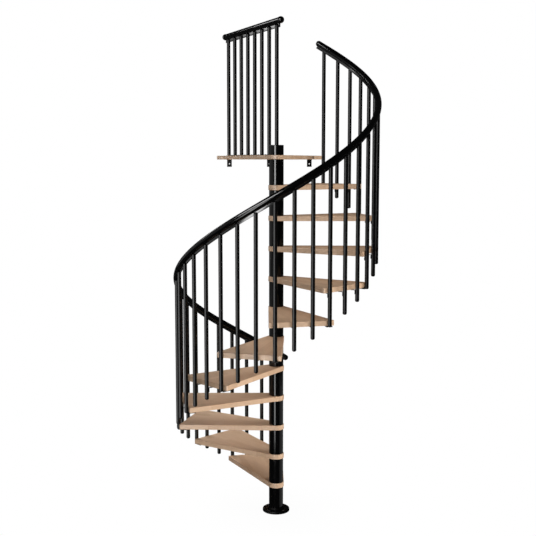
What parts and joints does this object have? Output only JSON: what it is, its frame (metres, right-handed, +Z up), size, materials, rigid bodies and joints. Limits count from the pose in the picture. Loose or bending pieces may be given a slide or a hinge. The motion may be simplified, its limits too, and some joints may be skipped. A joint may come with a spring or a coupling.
{
  "type": "spiral staircase",
  "caption": "Spiral stair with beech treads and black sleeves on one steel pole, a helical handrail on round balusters, and a wedge landing with a straight rail",
  "frame": {"origin": "Centre of the base flange's underside, where the pole's axis meets the floor", "axes": "+Z up along the pole, +Y square to the landing's wall edge and towards the wall, +X along that edge; the stair climbs anticlockwise seen from above"},
  "size_m": [1.4, 1.6325, 3.3939],
  "materials": {
    "black_steel": "gloss black powder coat",
    "black_rail": "gloss black moulded rail",
    "strip_steel": "satin dark grey paint",
    "beech": "clear lacquered beech staves"
  },
  "bodies": {
    "root": {"base_flange": "black_steel", "centre_pole": "black_steel", "column_sleeves": "black_steel", "column_cap": "black_steel", "handrail": "black_rail", "rail_end_caps": "black_rail", "handrail_strip": "strip_steel", "landing_board": "beech", "landing_handrail": "black_rail", "landing_strip": "strip_steel", "landing_base_strip": "black_steel", "landing_balusters": "black_steel", "landing_wall_angles": "black_steel", "tread_01": "beech", "balusters_01": "black_steel", "tread_angles_01": "black_steel", "tread_02": "beech", "balusters_02": "black_steel", "tread_angles_02": "black_steel", "tread_03": "beech", "balusters_03": "black_steel", "tread_angles_03": "black_steel", "tread_04": "beech", "balusters_04": "black_steel", "tread_angles_04": "black_steel", "tread_05": "beech", "balusters_05": "black_steel", "tread_angles_05": "black_steel", "tread_06": "beech", "balusters_06": "black_steel", "tread_angles_06": "black_steel", "tread_07": "beech", "balusters_07": "black_steel", "tread_angles_07": "black_steel", "tread_08": "beech", "balusters_08": "black_steel", "tread_angles_08": "black_steel", "tread_09": "beech", "balusters_09": "black_steel", "tread_angles_09": "black_steel", "tread_10": "beech", "balusters_10": "black_steel", "tread_angles_10": "black_steel", "tread_11": "beech", "balusters_11": "black_steel", "tread_angles_11": "black_steel"}
  },
  "joints": []
}
